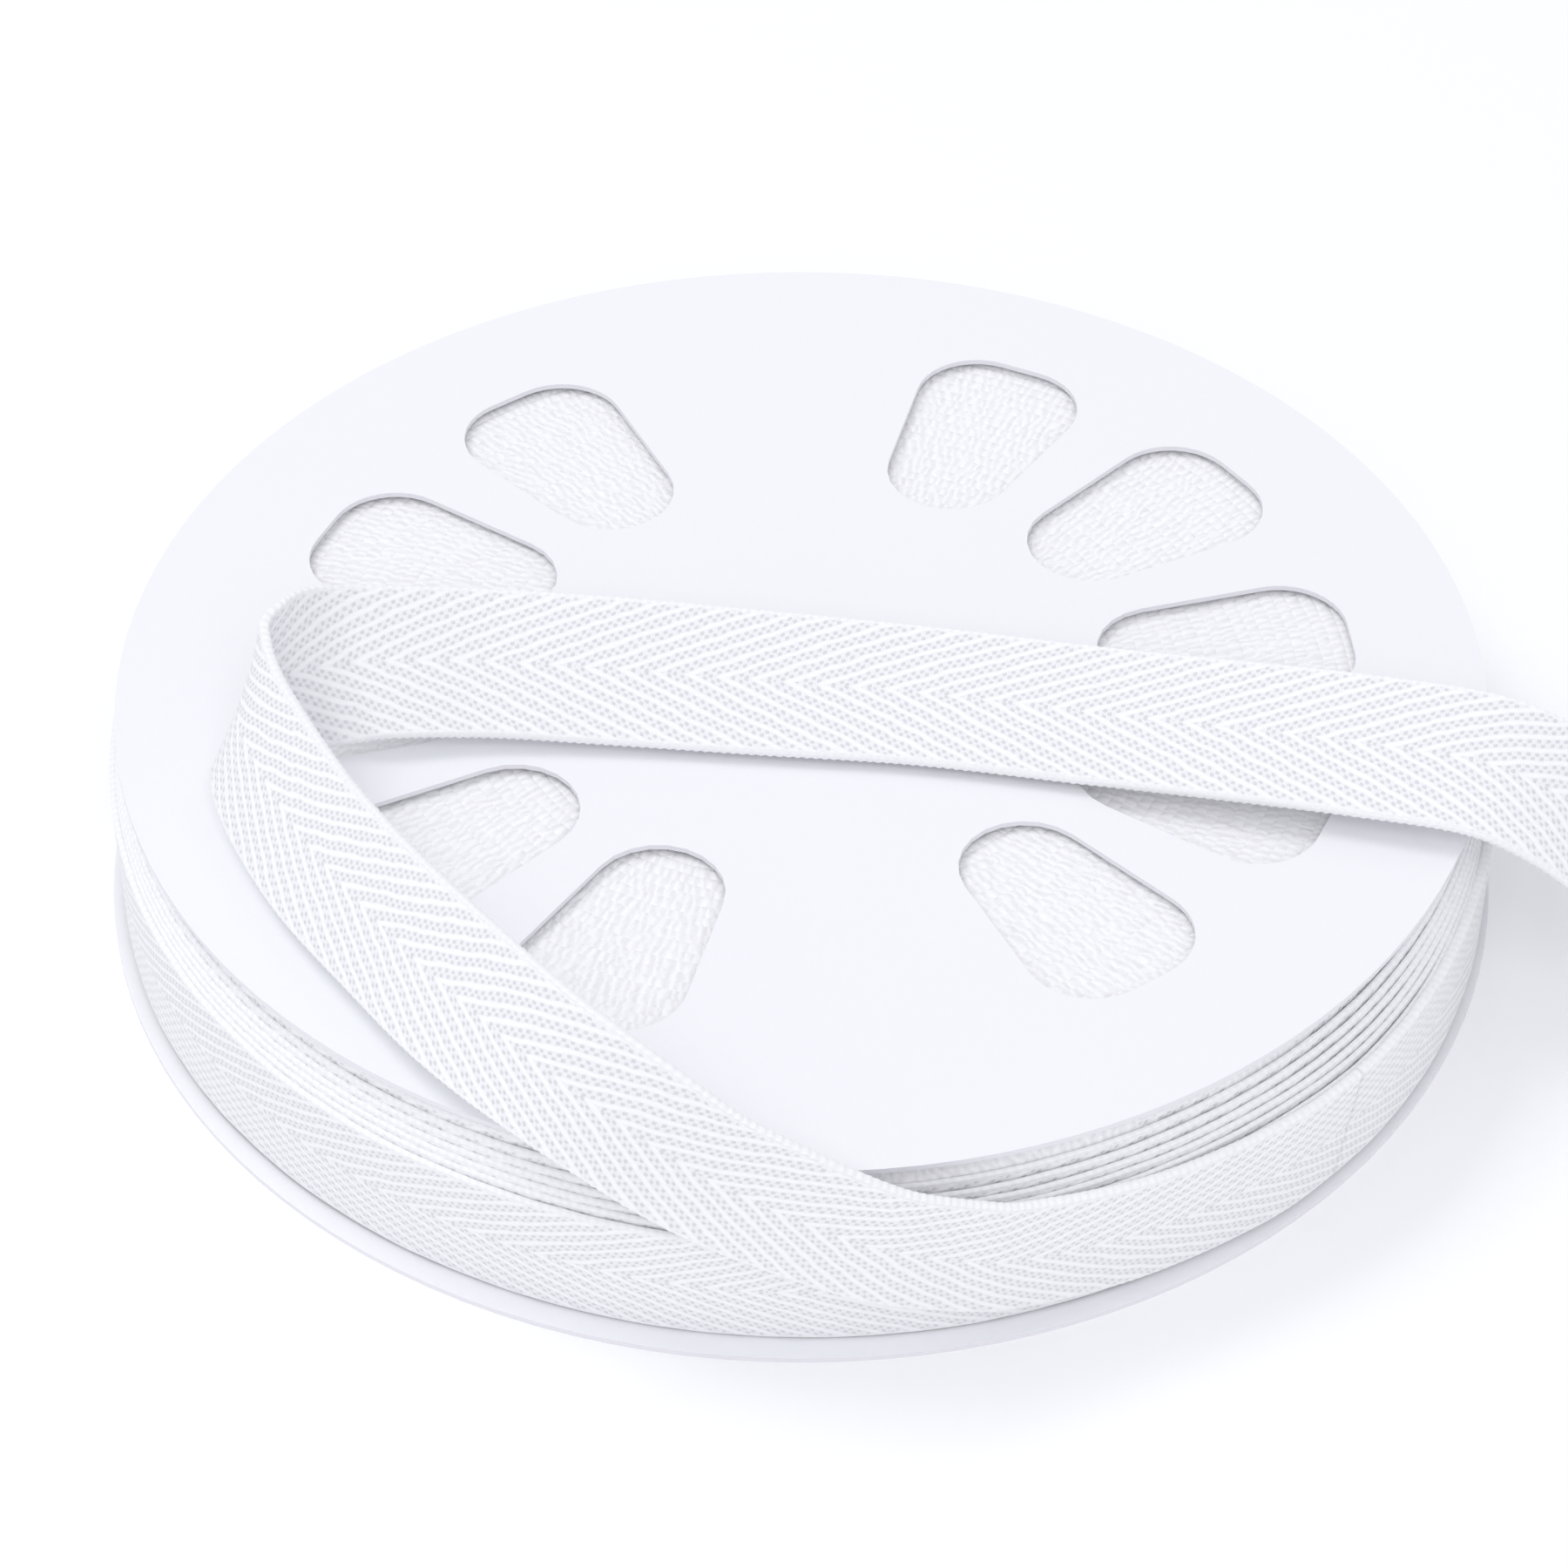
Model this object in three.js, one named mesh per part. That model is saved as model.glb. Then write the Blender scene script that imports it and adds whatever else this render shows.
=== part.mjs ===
// Roll of herringbone twill tape on a reel of two card discs, lying flat, with its loose end
// looped over the top. Millimetres, +Z up. The origin is the middle of the lower disc's underside,
// on the surface that the reel lies on. X runs to the right and Y to the back.
import * as THREE from 'three';

// Driving sizes
const TAPE_WIDTH = 12.7;
const TAPE_THICKNESS = 0.9;
const CARD_THICKNESS = 0.45;
const REEL_HEIGHT = 18.8;
const TOP_DISC_RADIUS = 55;
const BOTTOM_DISC_RADIUS = 56.6;
const GAP = 0.3;

// Windows of the die-cut card: twelve places 30 degrees apart, two of them left uncut
const WINDOW_PLACES = 12;
const UNCUT_PLACES = [0, 6];
const FIRST_PLACE_DEG = 95.5;
const WINDOW = { inner: 28.6, outer: 38.8, corner: 5.28, halfFlare: 1.74 };
const DIE_OFFSET = { x: 0.7, y: 0.9 };
const WINDOW_ARC_STEPS = 5;
const RIM_STEPS = 120;

// Wound pack
const PACK_FLAT_RADIUS = 54.0;
const PACK_SHOULDER = { radius: 54.7, drop: 0.9 };
const PACK_HOLLOW_RADIUS = 50.0;
const PACK_FOOT_RADIUS = 51.0;
const TURN_PITCH = 0.9;
const RIM = { low: 55.3, high: 55.5, top: 13.8, frontLowIn: 1.2, frontHighOut: 0.8, frontSag: 0.6 };
const TAKE_OFF_DEG = -43;
const PACK_STEPS = 72;

// The loose end, a row for each section from the take-off to the cut end: its middle, then how
// steeply the width rises from the lower edge to the upper one, and where it points in plan.
const SECTIONS = [
  { x: 41.3, y: -38.8, z: 7.5, rise: 99, heading: 137 },
  { x: 34.8, y: -44.5, z: 7.5, rise: 99, heading: 128 },
  { x: 25.7, y: -50.1, z: 7.9, rise: 99, heading: 118 },
  { x: 16.5, y: -54.1, z: 9.1, rise: 98, heading: 106 },
  { x: 11.0, y: -55.7, z: 10.7, rise: 98, heading: 98 },
  { x: 5.2, y: -57.0, z: 13.4, rise: 97, heading: 88 },
  { x: -1.2, y: -57.4, z: 17.2, rise: 92, heading: 65 },
  { x: -7.4, y: -56.8, z: 20.8, rise: 84, heading: 40 },
  { x: -13.6, y: -54.8, z: 24.6, rise: 72, heading: 33 },
  { x: -19.4, y: -51.1, z: 26.7, rise: 65, heading: 33 },
  { x: -25.8, y: -43.9, z: 26.7, rise: 59, heading: 38 },
  { x: -31.4, y: -36.2, z: 26.3, rise: 60, heading: 37 },
  { x: -36.7, y: -28.0, z: 25.8, rise: 58, heading: 34 },
  { x: -40.6, y: -20.6, z: 25.8, rise: 59, heading: 25 },
  { x: -43.0, y: -14.8, z: 26.2, rise: 63, heading: 8 },
  { x: -43.3, y: -11.0, z: 26.2, rise: 70, heading: 14 },
  { x: -42.3, y: -8.4, z: 25.9, rise: 74, heading: 42 },
  { x: -40.2, y: -6.8, z: 25.3, rise: 63, heading: 72 },
  { x: -37.2, y: -5.4, z: 24.7, rise: 45, heading: 88 },
  { x: -33.0, y: -4.3, z: 24.2, rise: 32, heading: 91 },
  { x: -24.6, y: -3.3, z: 23.2, rise: 27, heading: 88 },
  { x: -14.5, y: -3.7, z: 22.7, rise: 26, heading: 86 },
  { x: -4.0, y: -4.5, z: 22.3, rise: 23, heading: 85 },
  { x: 9.5, y: -5.6, z: 21.8, rise: 18, heading: 82 },
  { x: 23.6, y: -8.1, z: 21.8, rise: 17, heading: 80 },
  { x: 34.0, y: -10.5, z: 22.4, rise: 18, heading: 79 },
  { x: 44.0, y: -13.1, z: 23.1, rise: 19, heading: 77 },
  { x: 52.6, y: -15.2, z: 23.1, rise: 19, heading: 74 },
  { x: 58.0, y: -16.5, z: 21.4, rise: 20, heading: 70 },
  { x: 62.5, y: -17.2, z: 18.2, rise: 22, heading: 70 },
  { x: 67.5, y: -17.7, z: 13.0, rise: 20, heading: 74 },
  { x: 71.8, y: -18.2, z: 8.4, rise: 15, heading: 78 },
  { x: 76.2, y: -18.7, z: 4.3, rise: 8, heading: 82 },
  { x: 81.5, y: -19.1, z: 1.4, rise: 2, heading: 85 },
  { x: 87.5, y: -19.6, z: 0.45, rise: 0, heading: 87 },
  { x: 97.0, y: -20.0, z: 0.45, rise: 0, heading: 88 },
];
const STEPS_PER_SECTION = 3;

const CARD = new THREE.MeshStandardMaterial({ color: 0xf7f8fb, roughness: 0.75, metalness: 0 });
const COTTON = new THREE.MeshStandardMaterial({ color: 0xf3f3f6, roughness: 0.95, metalness: 0 });

const rad = (degrees) => (degrees * Math.PI) / 180;

function mesh(name, geometry, material) {
  const piece = new THREE.Mesh(geometry, material);
  piece.name = name;
  return piece;
}

function closedGeometry(vertices, triangles) {
  const geometry = new THREE.BufferGeometry();
  geometry.setAttribute('position', new THREE.Float32BufferAttribute(vertices.flat(), 3));
  geometry.setIndex(triangles.flat());
  geometry.computeVertexNormals();
  return geometry;
}

// A window is a tapered slot: a round inner end, and an outer end with two round corners
function windowHole(angle) {
  const radial = new THREE.Vector2(Math.cos(angle), Math.sin(angle));
  const across = new THREE.Vector2(-radial.y, radial.x);
  const place = (along, side) => new THREE.Vector2(DIE_OFFSET.x, DIE_OFFSET.y)
    .addScaledVector(radial, along).addScaledVector(across, side);
  const flare = Math.atan2(WINDOW.halfFlare, WINDOW.outer - WINDOW.inner);
  const inner = place(WINDOW.inner, 0);
  const right = place(WINDOW.outer, -WINDOW.halfFlare);
  const left = place(WINDOW.outer, WINDOW.halfFlare);
  const quarter = Math.PI / 2;
  const hole = new THREE.Path();
  const round = (centre, from, to) => hole.absarc(centre.x, centre.y, WINDOW.corner, from, to, false);
  round(inner, angle + quarter + flare, angle + 3 * quarter - flare);
  round(right, angle - quarter - flare, angle);
  round(left, angle, angle + quarter + flare);
  return hole;
}

function disc(name, radius, height) {
  const rim = Array.from({ length: RIM_STEPS }, (_, k) => new THREE.Vector2(radius, 0)
    .rotateAround(new THREE.Vector2(), (2 * Math.PI * k) / RIM_STEPS));
  const shape = new THREE.Shape(rim);
  for (let place = 0; place < WINDOW_PLACES; place += 1) {
    if (UNCUT_PLACES.includes(place)) continue;
    shape.holes.push(windowHole(rad(FIRST_PLACE_DEG - (360 / WINDOW_PLACES) * place)));
  }
  const geometry = new THREE.ExtrudeGeometry(shape, {
    depth: CARD_THICKNESS,
    bevelEnabled: false,
    curveSegments: WINDOW_ARC_STEPS,
  });
  const piece = mesh(name, geometry, CARD);
  piece.position.z = height;
  return piece;
}

// The pack's outline in radius and height at one azimuth. At the front its rim leans outwards.
// It winds outwards clockwise, so the rim falls by one turn from the take-off round to it again.
function packOutline(azimuth, turnsLeft) {
  const front = Math.max(0, -Math.sin(azimuth)) ** 2;
  const layer = TURN_PITCH * turnsLeft;
  const top = REEL_HEIGHT - CARD_THICKNESS - GAP;
  const foot = CARD_THICKNESS + GAP;
  return [
    { r: PACK_HOLLOW_RADIUS, z: top - TAPE_WIDTH },
    { r: PACK_FOOT_RADIUS, z: foot },
    { r: RIM.low - RIM.frontLowIn * front + layer, z: foot },
    { r: RIM.high + RIM.frontHighOut * front + layer, z: RIM.top - RIM.frontSag * front },
    { r: PACK_SHOULDER.radius, z: top - PACK_SHOULDER.drop },
    { r: PACK_FLAT_RADIUS, z: top },
  ];
}

function tapeWinding() {
  const vertices = [];
  const triangles = [];
  const rings = [];
  for (let step = 0; step <= PACK_STEPS; step += 1) {
    const turn = step / PACK_STEPS;
    const azimuth = rad(TAKE_OFF_DEG + 360 * turn);
    const ring = packOutline(azimuth, 1 - turn).map(({ r, z }) => {
      vertices.push([r * Math.cos(azimuth), r * Math.sin(azimuth), z]);
      return vertices.length - 1;
    });
    rings.push(ring);
  }
  const count = rings[0].length;
  const last = rings[PACK_STEPS];
  const first = rings[0];
  // Only the two rim corners differ where the last turn ends, so the others are shared
  const rimCorners = [2, 3];
  for (let k = 0; k < count; k += 1) {
    if (!rimCorners.includes(k)) last[k] = first[k];
  }
  const lowest = packOutline(0, 0)[0].z;
  const highest = packOutline(0, 0)[count - 1].z;
  const bottom = vertices.push([0, 0, lowest]) - 1;
  const top = vertices.push([0, 0, highest]) - 1;
  for (let step = 0; step < PACK_STEPS; step += 1) {
    const a = rings[step];
    const b = rings[step + 1];
    triangles.push([bottom, b[0], a[0]], [top, a[count - 1], b[count - 1]]);
    for (let k = 0; k < count - 1; k += 1) {
      triangles.push([a[k], b[k], b[k + 1]], [a[k], b[k + 1], a[k + 1]]);
    }
  }
  // The end face of the outermost turn, where the loose strip takes over
  triangles.push([first[1], first[2], last[2]], [first[4], last[3], first[3]]);
  triangles.push([first[2], first[3], last[3]], [first[2], last[3], last[2]]);
  return mesh('tape_winding', usedOnly(vertices, triangles), COTTON);
}

function usedOnly(vertices, triangles) {
  const used = [...new Set(triangles.flat())];
  const renumber = new Map(used.map((old, index) => [old, index]));
  return closedGeometry(
    used.map((k) => vertices[k]),
    triangles.map((corners) => corners.map((k) => renumber.get(k))),
  );
}

// A smooth run through the rows: each column follows a Catmull-Rom curve
function smoothRows(rows, steps) {
  const columns = Object.keys(rows[0]);
  const value = (index, column) => {
    if (index < 0) return 2 * rows[0][column] - rows[1][column];
    const end = rows.length - 1;
    if (index > end) return 2 * rows[end][column] - rows[end - 1][column];
    return rows[index][column];
  };
  const blend = (a, b, c, d, t) =>
    0.5 * (2 * b + (c - a) * t + (2 * a - 5 * b + 4 * c - d) * t * t + (3 * b - a - 3 * c + d) * t ** 3);
  const out = [];
  for (let step = 0; step <= (rows.length - 1) * steps; step += 1) {
    const row = Math.min(Math.floor(step / steps), rows.length - 2);
    const t = step / steps - row;
    const between = (column) => blend(
      value(row - 1, column), value(row, column), value(row + 1, column), value(row + 2, column), t);
    out.push(Object.fromEntries(columns.map((column) => [column, between(column)])));
  }
  return out;
}

function tapeEnd() {
  const rows = smoothRows(SECTIONS, STEPS_PER_SECTION);
  // The cut end lies flat on the surface, so nothing there goes lower than half a thickness
  const middles = rows.map(({ x, y, z }) => new THREE.Vector3(x, y, Math.max(z, TAPE_THICKNESS / 2)));
  const vertices = [];
  const triangles = [];
  rows.forEach(({ rise, heading }, k) => {
    const before = middles[Math.max(k - 1, 0)];
    const after = middles[Math.min(k + 1, middles.length - 1)];
    const run = after.clone().sub(before).normalize();
    const lean = rad(Math.max(rise, 0));
    const width = new THREE.Vector3(
      Math.cos(lean) * Math.cos(rad(heading)), Math.cos(lean) * Math.sin(rad(heading)), Math.sin(lean));
    width.addScaledVector(run, -width.dot(run)).normalize();
    const outward = run.clone().cross(width);
    for (const [side, out] of [[-1, -1], [1, -1], [1, 1], [-1, 1]]) {
      vertices.push(middles[k].clone()
        .addScaledVector(width, side * TAPE_WIDTH / 2)
        .addScaledVector(outward, out * TAPE_THICKNESS / 2).toArray());
    }
  });
  const corner = (section, k) => section * 4 + (k % 4);
  const face = (a, b, c, d) => triangles.push([a, b, c], [a, c, d]);
  const end = rows.length - 1;
  face(corner(0, 3), corner(0, 2), corner(0, 1), corner(0, 0));
  face(corner(end, 0), corner(end, 1), corner(end, 2), corner(end, 3));
  for (let k = 0; k < end; k += 1) {
    for (let side = 0; side < 4; side += 1) {
      face(corner(k, side), corner(k, side + 1), corner(k + 1, side + 1), corner(k + 1, side));
    }
  }
  return mesh('tape_end', closedGeometry(vertices, triangles), COTTON);
}

const reel = new THREE.Group();
reel.add(disc('flange_bottom', BOTTOM_DISC_RADIUS, 0));
reel.add(disc('flange_top', TOP_DISC_RADIUS, REEL_HEIGHT - CARD_THICKNESS));
reel.add(tapeWinding());
reel.add(tapeEnd());

export default reel;
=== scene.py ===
# Looks of the twill tape reel: two white card discs, the wound herringbone tape between them, and
# its loose end. Sizes in the tables are millimetres, as in the solids, and are made metres by MM.
import math

import bpy
import numpy as np
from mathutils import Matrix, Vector


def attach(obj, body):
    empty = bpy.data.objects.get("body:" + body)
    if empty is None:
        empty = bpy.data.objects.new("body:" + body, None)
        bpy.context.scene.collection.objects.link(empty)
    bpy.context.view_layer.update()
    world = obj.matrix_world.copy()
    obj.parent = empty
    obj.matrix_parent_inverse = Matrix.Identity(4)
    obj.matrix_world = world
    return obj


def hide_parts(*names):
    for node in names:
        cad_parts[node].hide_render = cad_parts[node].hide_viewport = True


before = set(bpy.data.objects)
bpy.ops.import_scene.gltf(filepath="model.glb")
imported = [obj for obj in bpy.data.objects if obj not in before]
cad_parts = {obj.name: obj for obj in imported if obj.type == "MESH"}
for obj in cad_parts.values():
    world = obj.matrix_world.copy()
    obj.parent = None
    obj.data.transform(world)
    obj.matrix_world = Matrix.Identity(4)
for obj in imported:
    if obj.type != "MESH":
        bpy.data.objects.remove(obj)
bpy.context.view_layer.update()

MM = 0.001

# Driving sizes, the same as those of the solids
TAPE_WIDTH = 12.7
TAPE_THICKNESS = 0.9
TURN_PITCH = 0.9
TAKE_OFF_DEG = -43
RIM_HIGH, RIM_TOP, RIM_LEAN = 55.5, 13.8, 0.2
FRONT_HIGH_OUT, FRONT_LEAN, FRONT_SAG = 0.8, 2.0, 0.6
# The outermost turns stand in steps from the rim's edge up to the card: how far up the way from
# the outermost turn each lies, counting inwards from the take-off
STEP_TURNS = (0, 0.9, 1.85, 2.85, 3.85, 4.85, 5.85, 6.85, 7.85)
STEP_SHARES = (1, 1, 0.87, 0.74, 0.61, 0.465, 0.29, 0.09, 0.01)
RIM_TURNS = 7.85
# Radius and height of the highest step, beside the card's edge
CARD_EDGE = (54.1, 17.95)
# Thickness of the stepped turns, as a share of the loose end's
WOUND_THIN = 0.52
# The lean of the rim fades out over this many turns inwards
LEAN_TURNS = 9
# Each turn further in is shorter by this share
TURN_SHORTER = 0.008
# The outermost turn swings out to the loose end within this many turns
MEET_TURNS = 0.09
# The loose end leaves along the outermost turn, and takes its own way within this length
LEAVE_LENGTH = 10
# How far the turns beneath swell out beside the take-off, against turns past it
TAKE_OFF_SWELL = (
    (-0.2, -0.15, -0.1, -0.06, -0.03, -0.01, 0, 0.01, 0.022, 0.033, 0.044, 0.055, 0.067, 0.08, 0.1),
    (0, 0.45, 0.85, 0.85, 1.0, 1.25, 1.35, 1.32, 1.15, 0.95, 0.7, 0.48, 0.28, 0.1, 0))
# The swell begins this far before the take-off, and has faded out after this many turns
SWELL_REACH, SWELL_LAYERS = 0.2, 7
# The lower edges stay back by this share of the swell
SWELL_LEAN = 0.6
# The inner turns: how far apart they lie, and how many turns in they end
INNER_PITCH = 1.05
INNER_TURNS = 40.5

# Irregularity of the turns: wavelengths along the tape, and how far each part wanders
TOP_WAVES = (4.1, 9.7, 23.0, 53.0)
SIDE_WAVES = (11.0, 23.0, 61.0)
OUTER_UNEVEN, INNER_UNEVEN = 0.04, 0.035

# Cross-sections: points across each side, points round each edge, half the thickness of the body
# and of the edge, and how deep the rounded edge is
LOOSE_PROFILE = (8, 7, 0.42, 0.46, 0.3)
OUTER_PROFILE = (3, 7, 0.42, 0.46, 0.3)
INNER_PROFILE = (2, 7, 0.7, 0.7, 0.2)
# Distance between the loose end's sections, and how many sections the turns have
LOOSE_STEP = 0.2
OUTER_SECTIONS, INNER_SECTIONS = 3400, 4600
# Height of the scallops along the tape's edges
LOOSE_SCALLOP, OUTER_SCALLOP, INNER_SCALLOP = 0.07, 0.01, 0.02

# The weave, in millimetres along and across the tape
LINE_ALONG = 2.65
LINE_ACROSS = 1.22
PICK = 0.723
# How far the picks slant, in radians of their wave for each millimetre across
PICK_SLANT, EDGE_SLANT = 1.6, 2.4
PIT_DEPTH = 0.6
# The rows of pits lie this share of half a pitch either side of the middle between two ribs
PIT_ROW = 0.33
# The ribs fade out between these distances from the tape's middle
SELVEDGE = (5.7, 6.1)
# Relief of the weave, in metres
WEAVE_RELIEF = 0.00009

# Rounding of the discs' edges
EDGE_SOFTNESS = 0.08

# Colours, each from the deepest to the lightest tone; the deep tones are painted shade in the weave's
# hollows and on the card's cut edges
COTTON_SHADE_TONES = (0.60, 0.60, 0.635), (0.975, 0.973, 0.985)
EDGE_SHADE_AND_FIBRE_TONES = (0.76, 0.752, 0.775), (0.97, 0.967, 0.977)
CARD_SHADE_AND_GRAIN_TONES = (0.82, 0.81, 0.85), (0.90, 0.906, 0.928)

# Name, place in metres, size in metres and power in watts
LIGHTS = [("key", (-0.6, 0.25, 1.15), 0.5, 3.3), ("front", (0.05, -0.95, 1.1), 0.8, 4.3)]

# Camera of the photograph
CAMERA_TARGET = (-1.41, -12.77, 18.8)
CAMERA_ELEVATION_DEG = 41.79
CAMERA_DISTANCE = 410.6
CAMERA_LENS = 120

# The loose end, a row for each section: its middle x, y and z, then how steeply its width rises
# from the lower edge to the upper one, and where that points in plan, both in degrees.
SECTIONS = [
    (41.3, -38.8, 7.5, 99, 137),
    (34.8, -44.5, 7.5, 99, 128),
    (25.7, -50.1, 7.9, 99, 118),
    (16.5, -54.1, 9.1, 98, 106),
    (11.0, -55.7, 10.7, 98, 98),
    (5.2, -57.0, 13.4, 97, 88),
    (-1.2, -57.4, 17.2, 92, 65),
    (-7.4, -56.8, 20.8, 84, 40),
    (-13.6, -54.8, 24.6, 72, 33),
    (-19.4, -51.1, 26.7, 65, 33),
    (-25.8, -43.9, 26.7, 59, 38),
    (-31.4, -36.2, 26.3, 60, 37),
    (-36.7, -28.0, 25.8, 58, 34),
    (-40.6, -20.6, 25.8, 59, 25),
    (-43.0, -14.8, 26.2, 63, 8),
    (-43.3, -11.0, 26.2, 70, 14),
    (-42.3, -8.4, 25.9, 74, 42),
    (-40.2, -6.8, 25.3, 63, 72),
    (-37.2, -5.4, 24.7, 45, 88),
    (-33.0, -4.3, 24.2, 32, 91),
    (-24.6, -3.3, 23.2, 27, 88),
    (-14.5, -3.7, 22.7, 26, 86),
    (-4.0, -4.5, 22.3, 23, 85),
    (9.5, -5.6, 21.8, 18, 82),
    (23.6, -8.1, 21.8, 17, 80),
    (34.0, -10.5, 22.4, 18, 79),
    (44.0, -13.1, 23.1, 19, 77),
    (52.6, -15.2, 23.1, 19, 74),
    (58.0, -16.5, 21.4, 20, 70),
    (62.5, -17.2, 18.2, 22, 70),
    (67.5, -17.7, 13.0, 20, 74),
    (71.8, -18.2, 8.4, 15, 78),
    (76.2, -18.7, 4.3, 8, 82),
    (81.5, -19.1, 1.4, 2, 85),
    (87.5, -19.6, 0.45, 0, 87),
    (97.0, -20.0, 0.45, 0, 88),
]
# How many steps the curve takes from row to row
ROW_STEPS = 24


def smooth_rows(rows, steps):
    """A smooth curve through every row, as the solids have it."""
    rows = np.array(rows, float)
    rows = np.vstack([2 * rows[0] - rows[1], rows, 2 * rows[-1] - rows[-2]])
    out = []
    for a, b, c, d in zip(rows, rows[1:], rows[2:], rows[3:]):
        for t in np.arange(steps) / steps:
            out.append(0.5 * (2 * b + (c - a) * t + (2 * a - 5 * b + 4 * c - d) * t**2
                              + (3 * b - a - 3 * c + d) * t**3))
    return np.array(out + [rows[-2]])


def unit(vectors):
    return vectors / np.linalg.norm(vectors, axis=1)[:, None]


def square_to_run(middles, widths):
    run = unit(np.gradient(middles, axis=0))
    widths = widths - (widths * run).sum(1)[:, None] * run
    return unit(widths)


def loose_end_sections(step):
    rows = smooth_rows(SECTIONS, ROW_STEPS)
    middles, rise, heading = rows[:, :3], np.radians(np.maximum(rows[:, 3], 0)), np.radians(rows[:, 4])
    middles[:, 2] = np.maximum(middles[:, 2], TAPE_THICKNESS / 2)
    widths = np.stack([np.cos(rise) * np.cos(heading), np.cos(rise) * np.sin(heading), np.sin(rise)], 1)
    widths = square_to_run(middles, widths)
    along = np.concatenate([[0], np.cumsum(np.linalg.norm(np.diff(middles, axis=0), axis=1))])
    even = np.linspace(0, along[-1], int(along[-1] / step) + 1)
    column = lambda table: np.stack([np.interp(even, along, table[:, k]) for k in range(3)], 1)
    return column(middles), unit(column(widths)), even


def ripple(values, wavelengths, seed):
    """Smooth irregularity, from about -1 to 1, made of a few waves."""
    dice = np.random.default_rng(seed)
    waves = [np.sin(2 * math.pi * values / w + dice.uniform(0, 6.28)) for w in wavelengths]
    return sum(waves) / len(waves)


def turn_sections(turns, uneven, thick):
    """Middles and widths of the wound tape, counting turns inwards from the take-off."""
    azimuth = np.radians(TAKE_OFF_DEG) + 2 * math.pi * turns
    front = np.maximum(0, -np.sin(azimuth)) ** 2
    share = np.interp(turns, STEP_TURNS, STEP_SHARES)
    rim_radius = RIM_HIGH + FRONT_HIGH_OUT * front + TURN_PITCH * np.clip(1 - turns, 0, 1)
    edge_radius, edge_top = CARD_EDGE
    outer = edge_radius + (rim_radius - edge_radius) * share
    top = edge_top + (RIM_TOP - FRONT_SAG * front - edge_top) * share
    outer = outer - INNER_PITCH * np.maximum(turns - RIM_TURNS, 0)
    length = 2 * math.pi * RIM_HIGH * turns * (1 - TURN_SHORTER * turns)
    top = top + uneven * (ripple(length, TOP_WAVES, 3) - 0.8)
    # Past the take-off the turns beneath swell out to fill the step that the outermost one makes
    layer = np.floor(turns + SWELL_REACH)
    fade = np.clip((SWELL_LAYERS - layer) / (SWELL_LAYERS - 1), 0, 1)
    swell = np.where(layer > 0, np.interp(turns - layer, *TAKE_OFF_SWELL) * fade, 0)
    high = outer + swell - TAPE_THICKNESS / 2 * thick + uneven * ripple(length, SIDE_WAVES, 5)
    lean = (RIM_LEAN + FRONT_LEAN * front) * np.clip(1 - turns / LEAN_TURNS, 0, 1)
    low = high - SWELL_LEAN * swell - lean
    place = lambda radius, z: np.stack([radius * np.cos(azimuth), radius * np.sin(azimuth), z], 1)
    lower, upper = place(low, top - TAPE_WIDTH), place(high, top)
    return (lower + upper) / 2, unit(upper - lower), length


def profile(faces, beads, half_body, half_bead, depth):
    """The tape's cross-section, once round, a row for each point: across, out, how far across the
    cloth it lies when the rounded edge is rolled flat, and the side of the cloth (1 or -1)."""
    flat = TAPE_WIDTH / 2 - depth
    angles = np.linspace(0, math.pi, beads + 2)[1:-1]
    rolled = (half_bead + depth) / 2
    points = [(v, half_body, v, 1) for v in np.linspace(-flat, flat, faces)]
    points += [(flat + depth * math.sin(a), half_bead * math.cos(a), flat + rolled * a, 1)
               for a in angles]
    points += [(v, -half_body, v, -1) for v in np.linspace(flat, -flat, faces)]
    points += [(-flat - depth * math.sin(a), -half_bead * math.cos(a), -flat - rolled * a, -1)
               for a in angles]
    return np.array(points)


def ribbon(name, middles, widths, along, shape, scallop, thick=1.0):
    """A tape along the sections, with a weave map in millimetres: along it, and across it."""
    run = unit(np.gradient(middles, axis=0))
    outward = np.cross(run, widths)
    across, out, cloth_across, cloth_side = shape.T
    edge = np.clip((np.abs(across) - TAPE_WIDTH / 2 + 0.5) / 0.5, 0, 1) * np.sign(across)
    wave = scallop * np.cos(2 * math.pi * along / PICK)
    points = (middles[:, None] + widths[:, None] * (across[None, :, None]
              + wave[:, None, None] * edge[None, :, None])
              + outward[:, None] * out[None, :, None] * np.reshape(thick, (-1, 1, 1)))
    rings, around = points.shape[:2]
    ring, side = np.meshgrid(np.arange(rings - 1), np.arange(around), indexing="ij")
    after = (side + 1) % around
    quads = np.stack([ring * around + side, ring * around + after,
                      (ring + 1) * around + after, (ring + 1) * around + side], -1).reshape(-1, 4)
    face = cloth_side[side]
    corner_side = np.stack([side, after, after, side], -1)
    corner_ring = np.stack([ring, ring, ring + 1, ring + 1], -1)
    uv = np.stack([along[corner_ring] * face[..., None], cloth_across[corner_side]], -1).reshape(-1, 2)
    mesh = bpy.data.meshes.new(name)
    mesh.from_pydata((points.reshape(-1, 3) * MM).tolist(), [], quads.tolist()
                     + [list(range(around))[::-1], list(range((rings - 1) * around, rings * around))])
    uv = np.vstack([uv, np.zeros((2 * around, 2))])
    layer = mesh.uv_layers.new(name="weave")
    layer.data.foreach_set("uv", uv.astype(np.float32).ravel())
    smooth = np.ones(len(mesh.polygons), bool)
    smooth[-2:] = False
    mesh.polygons.foreach_set("use_smooth", smooth)
    mesh.validate()
    made = bpy.data.objects.new(name, mesh)
    bpy.context.scene.collection.objects.link(made)
    return made


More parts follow.
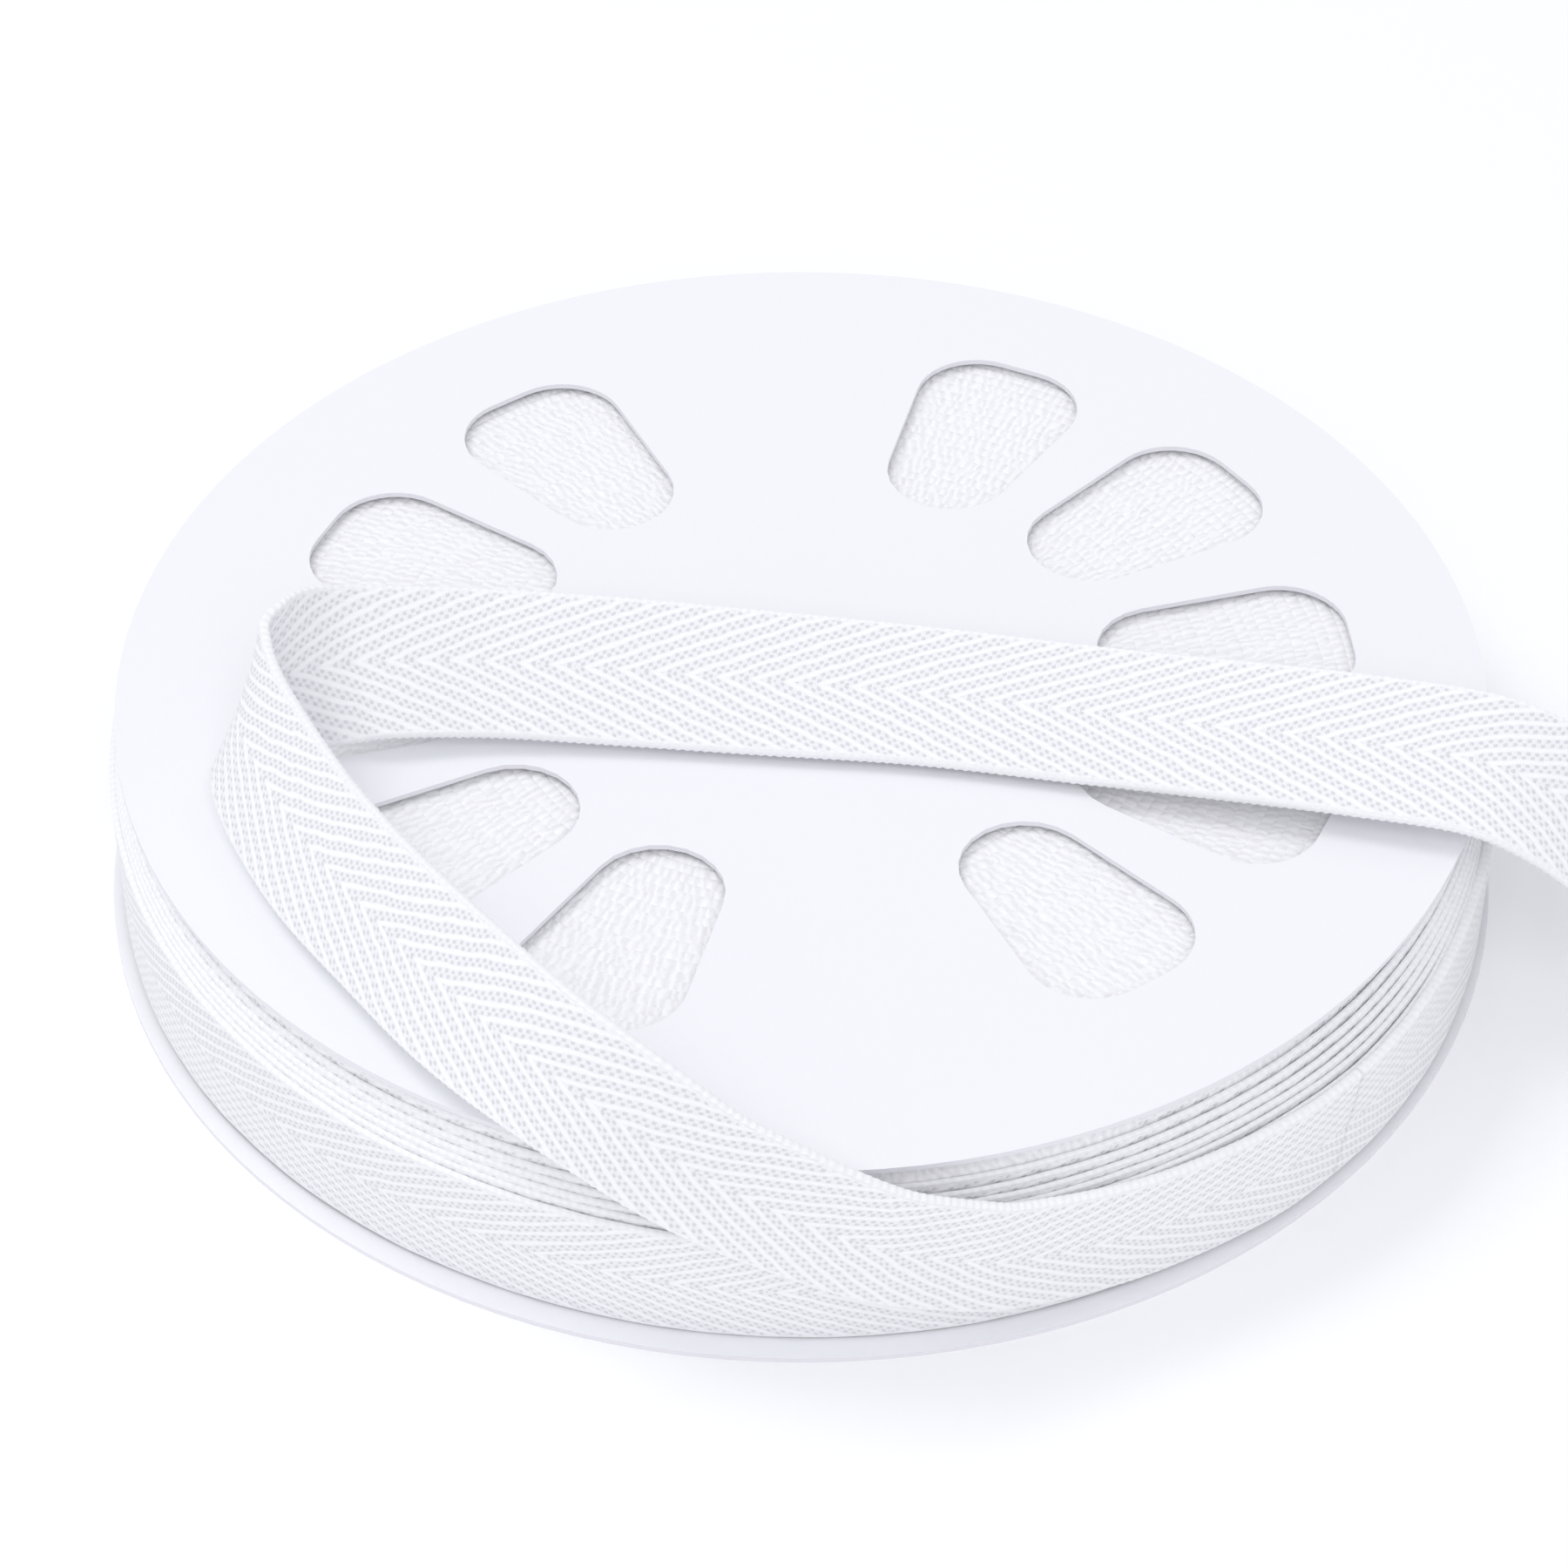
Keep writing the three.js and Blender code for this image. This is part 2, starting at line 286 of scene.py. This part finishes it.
class Nodes:
    """Short ways to add nodes to a material."""

    def __init__(self, name):
        self.material = bpy.data.materials.new(name)
        self.material.use_nodes = True
        self.tree = self.material.node_tree
        self.shader = self.tree.nodes["Principled BSDF"]

    def add(self, kind, **settings):
        node = self.tree.nodes.new(kind)
        for key, value in settings.items():
            setattr(node, key, value)
        return node

    def feed(self, value, socket):
        if isinstance(value, (int, float, tuple)):
            socket.default_value = value
        else:
            self.tree.links.new(value, socket)

    def math(self, operation, *values, clamp=False):
        node = self.add("ShaderNodeMath", operation=operation, use_clamp=clamp)
        for value, socket in zip(values, node.inputs):
            self.feed(value, socket)
        return node.outputs[0]

    def step(self, value, low, high, to_low=0.0, to_high=1.0):
        node = self.add("ShaderNodeMapRange", interpolation_type="SMOOTHSTEP")
        for key, item in zip(("Value", "From Min", "From Max", "To Min", "To Max"),
                             (value, low, high, to_low, to_high)):
            self.feed(item, node.inputs[key])
        return node.outputs[0]

    def noise(self, vector, scale, detail=2.0):
        node = self.add("ShaderNodeTexNoise")
        self.feed(vector, node.inputs["Vector"])
        node.inputs["Scale"].default_value = scale
        node.inputs["Detail"].default_value = detail
        return node.outputs[0]

    def stretched(self, vector, scale):
        node = self.add("ShaderNodeVectorMath", operation="MULTIPLY")
        self.feed(vector, node.inputs[0])
        node.inputs[1].default_value = scale
        return node.outputs[0]

    def colour(self, share, low, high):
        node = self.add("ShaderNodeMix", data_type="RGBA")
        self.feed(share, node.inputs["Factor"])
        node.inputs["A"].default_value = (*low, 1)
        node.inputs["B"].default_value = (*high, 1)
        self.tree.links.new(node.outputs["Result"], self.shader.inputs["Base Color"])

    def bump(self, height, distance):
        node = self.add("ShaderNodeBump")
        self.feed(height, node.inputs["Height"])
        node.inputs["Distance"].default_value = distance
        node.inputs["Strength"].default_value = 1.0
        self.tree.links.new(node.outputs[0], self.shader.inputs["Normal"])


def cotton():
    """Herringbone twill: ribs in one chevron, with two rows of small pits between each two."""
    n = Nodes("cotton_twill")
    place = n.add("ShaderNodeUVMap", uv_map="weave").outputs[0]
    split = n.add("ShaderNodeSeparateXYZ")
    n.feed(place, split.inputs[0])
    along, across = split.outputs[0], split.outputs[1]
    wobble = n.math("SUBTRACT", n.noise(place, 0.5), 0.5)
    off_centre = n.math("ABSOLUTE", across)
    lines = n.math("SUBTRACT", n.math("MULTIPLY", off_centre, 1 / LINE_ACROSS),
                   n.math("MULTIPLY", along, 1 / LINE_ALONG))
    lines = n.math("ADD", lines, n.math("MULTIPLY", wobble, 0.5))
    # From -1 to 1 across each pitch: the rib lies at the ends, the row of floats in the middle
    from_row = n.math("MULTIPLY", n.math("SUBTRACT", n.math("FRACT", lines), 0.5), 2.0)
    picks = n.math("ADD", n.math("MULTIPLY", along, 2 * math.pi / PICK),
                   n.math("MULTIPLY", off_centre, PICK_SLANT))
    picks = n.math("ADD", picks, n.math("MULTIPLY", wobble, 2.5))
    wave = n.math("SINE", picks)

    def pits(centre, sign):
        away = n.math("ABSOLUTE", n.math("SUBTRACT", from_row, centre))
        return n.math("MULTIPLY", n.step(away, 0.08, 0.33, 1.0, 0.0),
                      n.step(n.math("MULTIPLY", wave, sign), -0.15, 0.75))

    pit = n.math("MAXIMUM", pits(PIT_ROW, 1.0), pits(-PIT_ROW, -1.0))
    rib = n.step(n.math("ABSOLUTE", from_row), 0.55, 0.82)
    body = n.math("ADD", n.math("MULTIPLY", rib, 0.18), 0.72)
    weave = n.math("MULTIPLY", body, n.math("SUBTRACT", 1.0, n.math("MULTIPLY", pit, PIT_DEPTH)))
    # The selvedge has no ribs, only the scallops where each pick turns back
    inside = n.step(off_centre, *SELVEDGE, 1.0, 0.0)
    scallops = n.math("ADD", n.math("MULTIPLY", wave, 0.06), 0.85)
    weave = n.math("ADD", n.math("MULTIPLY", weave, inside),
                   n.math("MULTIPLY", scallops, n.math("SUBTRACT", 1.0, inside)))
    fibre = n.noise(n.stretched(place, (1.2, 7.0, 1.0)), 1.0, 4.0)
    fibre = n.math("MULTIPLY", n.math("SUBTRACT", fibre, 0.5), 0.3)
    height = n.math("ADD", weave, fibre)
    # Painted shade: the colour follows the relief, so the pits and the grooves beside the ribs are
    # darker, as if in shade
    n.colour(n.math("ADD", height, 0.02, clamp=True), *COTTON_SHADE_TONES)
    n.bump(height, WEAVE_RELIEF)
    matt(n)
    return n.material


def packed_edges():
    """The inner turns seen from above: rows of small slanted threads, nearly flush with each other."""
    n = Nodes("cotton_edges")
    place = n.add("ShaderNodeUVMap", uv_map="weave").outputs[0]
    split = n.add("ShaderNodeSeparateXYZ")
    n.feed(place, split.inputs[0])
    wobble = n.math("MULTIPLY", n.math("SUBTRACT", n.noise(place, 0.55), 0.5), 14.0)
    slant = n.math("MULTIPLY", split.outputs[1], EDGE_SLANT)
    picks = n.math("ADD", n.math("MULTIPLY", split.outputs[0], 2 * math.pi / PICK),
                   n.math("ADD", slant, wobble))
    threads = n.math("ADD", n.math("MULTIPLY", n.math("SINE", picks), 0.2), 0.72)
    fibre = n.noise(n.stretched(place, (2.6, 0.9, 1.0)), 1.0, 5.0)
    height = n.math("ADD", threads, n.math("MULTIPLY", n.math("SUBTRACT", fibre, 0.5), 1.3))
    # Painted shade and random fibre tone: the colour follows the relief, darker where the threads dip
    # and where the fibre noise runs low
    n.colour(n.math("MAXIMUM", n.math("MINIMUM", height, 1.0), 0.0), *EDGE_SHADE_AND_FIBRE_TONES)
    n.bump(height, WEAVE_RELIEF)
    matt(n)
    return n.material


def matt(nodes):
    nodes.shader.inputs["Roughness"].default_value = 0.92
    nodes.shader.inputs["Specular IOR Level"].default_value = 0.25
    nodes.shader.inputs["Sheen Weight"].default_value = 0.08
    nodes.shader.inputs["Sheen Roughness"].default_value = 0.5


def card():
    """Smooth white board: faint mottling and a very fine felt mark."""
    n = Nodes("white_card")
    place = n.add("ShaderNodeTexCoord").outputs["Object"]
    mottle = n.noise(place, 90.0, 4.0)
    felt = n.noise(place, 2600.0, 3.0)
    # Painted shade: faces that stand upright, the cut edges, are given a greyer tone than the flat
    # faces
    split = n.add("ShaderNodeSeparateXYZ")
    n.feed(n.add("ShaderNodeTexCoord").outputs["Normal"], split.inputs[0])
    face = n.step(n.math("ABSOLUTE", split.outputs[2]), 0.25, 0.95, 0.0, 0.9)
    grain = n.math("ADD", n.math("MULTIPLY", mottle, 0.06), n.math("MULTIPLY", felt, 0.04))
    n.colour(n.math("ADD", face, grain, clamp=True), *CARD_SHADE_AND_GRAIN_TONES)
    n.bump(felt, 0.00001)
    n.shader.inputs["Roughness"].default_value = 0.62
    n.shader.inputs["Specular IOR Level"].default_value = 0.35
    return n.material


def floor_material():
    n = Nodes("studio_floor")
    n.shader.inputs["Base Color"].default_value = (0.97, 0.97, 0.975, 1)
    n.shader.inputs["Roughness"].default_value = 0.9
    n.shader.inputs["Specular IOR Level"].default_value = 0.0
    n.shader.inputs["Emission Color"].default_value = (1, 1, 1, 1)
    n.shader.inputs["Emission Strength"].default_value = 0.015
    return n.material


def soft_piece(piece, node, material):
    piece.data.materials.append(material)
    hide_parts(node)
    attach(piece, "root")


cloth = cotton()
edges = packed_edges()
board = card()

# The discs keep their solids, with worn-soft edges
for name in ("flange_bottom", "flange_top"):
    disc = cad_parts[name]
    disc.data.materials.clear()
    disc.data.materials.append(board)
    edge = disc.modifiers.new("soft_edge", "BEVEL")
    edge.width = EDGE_SOFTNESS * MM
    edge.segments = 2
    edge.limit_method = "ANGLE"

# The wound tape: the outer turns, which swing out to meet the loose end where it comes off, and
# the inner ones, whose edges lie close under the card
end_middles, end_widths, end_along = loose_end_sections(LOOSE_STEP)
turns = np.linspace(RIM_TURNS + 0.5, 0, OUTER_SECTIONS)
thick = np.interp(turns, (0, 1), (1, WOUND_THIN))
scallop = np.interp(turns, (0, 1), (LOOSE_SCALLOP, OUTER_SCALLOP))
middles, widths, length = turn_sections(turns, OUTER_UNEVEN, thick)
share = np.clip(1 - turns / MEET_TURNS, 0, 1)
meet = (share**2 * (3 - 2 * share))[:, None]
outermost = middles + meet * (end_middles[0] - middles[-1])
widths = unit(widths + meet * (end_widths[0] - widths[-1]))
wound_turns = ribbon("wound_turns", outermost, widths, -length, profile(*OUTER_PROFILE), scallop, thick)
soft_piece(wound_turns, "tape_winding", cloth)
turns = np.linspace(INNER_TURNS, RIM_TURNS, INNER_SECTIONS)
middles, widths, length = turn_sections(turns, INNER_UNEVEN, 1.0)
inner_turns = ribbon("inner_turns", middles, widths, -length, profile(*INNER_PROFILE), INNER_SCALLOP)
soft_piece(inner_turns, "tape_winding", edges)

# The loose end, which leaves along the outermost turn and soon takes its own way
turned = unit(outermost[-1:] - outermost[-2:-1]) - unit(end_middles[1:2] - end_middles[:1])
early = np.clip(1 - end_along / LEAVE_LENGTH, 0, 1) ** 2
end_middles = end_middles + turned * (end_along * early)[:, None]
loose_end = ribbon("loose_end", end_middles, end_widths, end_along, profile(*LOOSE_PROFILE),
                   LOOSE_SCALLOP)
soft_piece(loose_end, "tape_end", cloth)

# Floor, light and camera
bpy.ops.mesh.primitive_plane_add(size=6)
floor = bpy.context.object
floor.name = "floor"
floor.data.materials.append(floor_material())

world = bpy.data.worlds.new("studio")
bpy.context.scene.world = world
world.use_nodes = True
world.node_tree.nodes["Background"].inputs["Color"].default_value = (0.945, 0.955, 1.0, 1)
world.node_tree.nodes["Background"].inputs["Strength"].default_value = 0.77


def area_light(name, place, size, watts):
    light = bpy.data.lights.new(name, "AREA")
    light.size = size
    light.energy = watts
    made = bpy.data.objects.new(name, light)
    made.location = place
    made.rotation_euler = (-Vector(place)).to_track_quat("-Z", "Y").to_euler()
    bpy.context.scene.collection.objects.link(made)


for light_name, light_place, light_size, light_watts in LIGHTS:
    area_light(light_name, light_place, light_size, light_watts)

elevation = math.radians(CAMERA_ELEVATION_DEG)
back = Vector((0, -math.cos(elevation), math.sin(elevation)))
lens = bpy.data.cameras.new("camera")
lens.lens = CAMERA_LENS
lens.sensor_width = 36
lens.clip_start, lens.clip_end = 0.01, 20
camera = bpy.data.objects.new("camera", lens)
camera.location = (Vector(CAMERA_TARGET) + back * CAMERA_DISTANCE) * MM
camera.rotation_euler = back.to_track_quat("Z", "Y").to_euler()
bpy.context.scene.collection.objects.link(camera)
bpy.context.scene.camera = camera
bpy.context.scene.view_settings.view_transform = "Standard"
